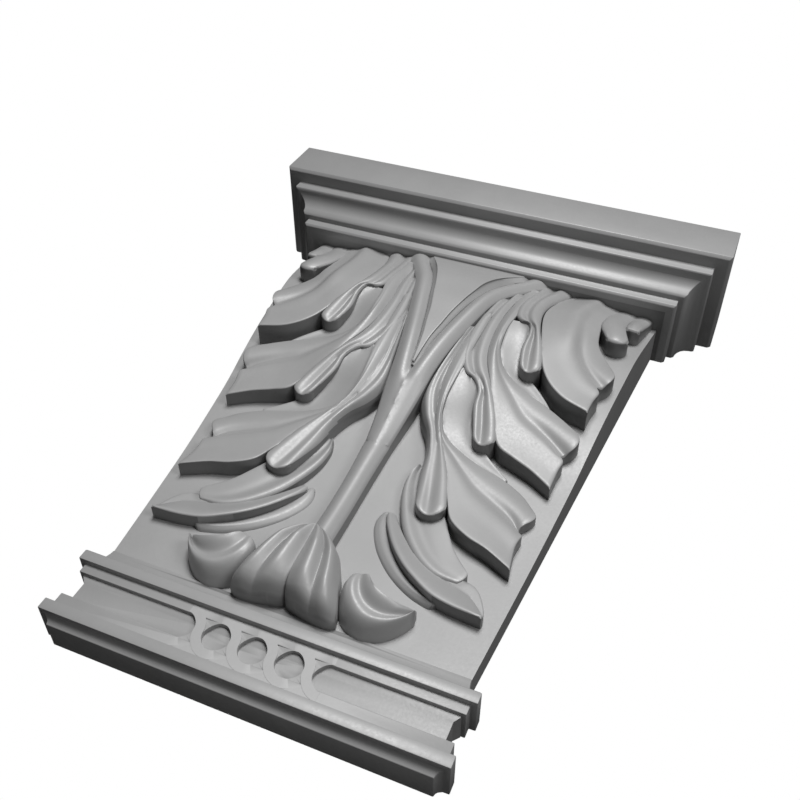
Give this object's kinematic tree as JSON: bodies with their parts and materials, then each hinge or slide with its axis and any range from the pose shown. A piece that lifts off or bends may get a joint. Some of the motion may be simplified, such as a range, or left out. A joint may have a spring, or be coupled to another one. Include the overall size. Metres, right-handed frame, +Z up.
{
  "type": "carved bracket",
  "caption": "Wall bracket with a moulded abacus over a tapering bell, carved with mirrored acanthus half-leaves, a forked stem and a bud, on a moulded foot with a woven band.",
  "frame": {"origin": "middle of the flat back face, half way up, on the centre line", "axes": "+X along the width, -Y towards the carved front, +Z up"},
  "size_m": [0.24, 0.0543, 0.3038],
  "materials": {
    "stone": "fine-grained neutral grey cast stone, satin"
  },
  "bodies": {
    "root": {"Carved_bracket": "stone"}
  },
  "joints": []
}
